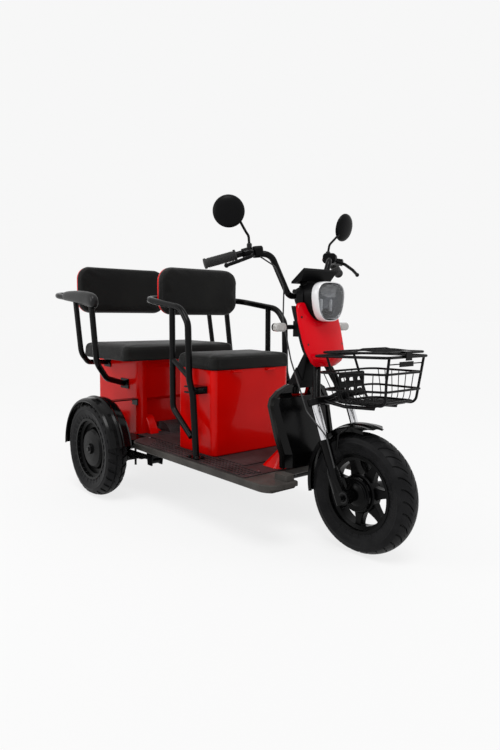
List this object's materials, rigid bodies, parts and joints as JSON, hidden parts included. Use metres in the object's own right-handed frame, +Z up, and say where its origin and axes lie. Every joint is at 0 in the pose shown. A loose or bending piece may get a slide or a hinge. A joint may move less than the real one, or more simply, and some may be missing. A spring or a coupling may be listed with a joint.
{
  "type": "electric passenger tricycle",
  "caption": "Three-wheeled electric moped with a red box seat in front, a wide passenger bench behind, tube armrests, a flat floor, cruiser bars and a lidded wire basket.",
  "frame": {"origin": "on the floor under the middle of the bounding box, which is on the plane of symmetry", "axes": "+X forward along the length, +Y to the rider's left, +Z up"},
  "size_m": [1.89, 0.884, 1.192],
  "materials": {
    "black_frame_paint": "satin",
    "red_body_plastic": "gloss",
    "black_vinyl": "soft satin",
    "black_plastic": "satin",
    "rubber_mat": "matt, ribbed",
    "tyre_rubber": "matt",
    "black_alloy": "satin",
    "chrome_steel": "bright",
    "white_plastic": "gloss",
    "lamp_glass": "clear",
    "signal_lens": "clear pale",
    "tail_lens": "clear red",
    "grip_rubber": "matt",
    "bare_casting": "satin",
    "battery_case": "matt",
    "grey_trim": "satin",
    "cable_sheath": "satin"
  },
  "bodies": {
    "chassis": {"battery": "battery_case", "column_cover": "black_plastic", "drive_motor": "bare_casting", "floor_board": "black_plastic", "floor_mat": "rubber_mat", "frame": "black_frame_paint", "front_backrest_pad": "black_vinyl", "front_backrest_shell": "red_body_plastic", "front_seat_box": "red_body_plastic", "front_seat_hoop": "black_frame_paint", "front_seat_posts": "black_frame_paint", "leg_shield": "black_plastic", "leg_shield_liner": "red_body_plastic", "leg_shield_trim": "grey_trim", "rear_arm_pads": "black_vinyl", "rear_axle": "black_frame_paint", "rear_backrest_pad": "black_vinyl", "rear_backrest_shell": "red_body_plastic", "rear_fender_left": "black_plastic", "rear_fender_right": "black_plastic", "rear_seat_box": "red_body_plastic", "rear_seat_hoop": "black_frame_paint", "rear_seat_posts": "black_frame_paint", "rear_springs": "black_frame_paint", "tail_lamp": "tail_lens"},
    "steering": {"steering_stem": "black_frame_paint", "fork_stanchions": "chrome_steel", "fork_sliders": "black_alloy", "front_fender": "black_plastic", "handlebar": "black_frame_paint", "grips": "grip_rubber", "brake_levers": "black_alloy", "mirrors": "black_plastic", "front_panel": "red_body_plastic", "headlight_housing": "white_plastic", "headlight_lens": "lamp_glass", "instrument_hood": "black_plastic", "turn_signals": "signal_lens", "basket": "black_frame_paint", "basket_bracket": "black_frame_paint", "front_cables": "cable_sheath", "switch_pods": "black_plastic", "signal_stalks": "black_plastic", "head_cover_frame": "black_plastic"},
    "basket_lid": {"basket_lid": "black_frame_paint"},
    "front_seat": {"front_seat_cushion": "black_vinyl"},
    "rear_seat": {"rear_seat_cushion": "black_vinyl"},
    "front_wheel": {"front_tyre": "tyre_rubber", "front_rim": "black_alloy"},
    "rear_wheel_left": {"rear_tyre_left": "tyre_rubber", "rear_rim_left": "black_frame_paint"},
    "rear_wheel_right": {"rear_tyre_right": "tyre_rubber", "rear_rim_right": "black_frame_paint"}
  },
  "joints": [
    {"name": "steering_turn", "type": "hinge", "parent": "chassis", "child": "steering", "pos_m": [0.71209, 0, 0.19418], "axis": [-0.373, 0, 0.9278], "range_deg": [-30, 30]},
    {"name": "front_wheel_spin", "type": "hinge", "parent": "steering", "child": "front_wheel", "pos_m": [0.739, 0, 0.205], "axis": [0, 1, 0], "continuous": true},
    {"name": "rear_wheel_left_spin", "type": "hinge", "parent": "chassis", "child": "rear_wheel_left", "pos_m": [-0.421, 0.39, 0.205], "axis": [0, 1, 0], "continuous": true},
    {"name": "rear_wheel_right_spin", "type": "hinge", "parent": "chassis", "child": "rear_wheel_right", "pos_m": [-0.421, -0.39, 0.205], "axis": [0, 1, 0], "continuous": true},
    {"name": "front_seat_hinge", "type": "hinge", "parent": "chassis", "child": "front_seat", "pos_m": [0.177, 0, 0.572], "axis": [0, 1, 0], "range_deg": [0, 75]},
    {"name": "rear_seat_hinge", "type": "hinge", "parent": "chassis", "child": "rear_seat", "pos_m": [-0.398, 0, 0.577], "axis": [0, 1, 0], "range_deg": [0, 70]},
    {"name": "basket_lid_hinge", "type": "hinge", "parent": "steering", "child": "basket_lid", "pos_m": [0.643, 0, 0.675], "axis": [0, -1, 0], "range_deg": [0, 85]}
  ]
}
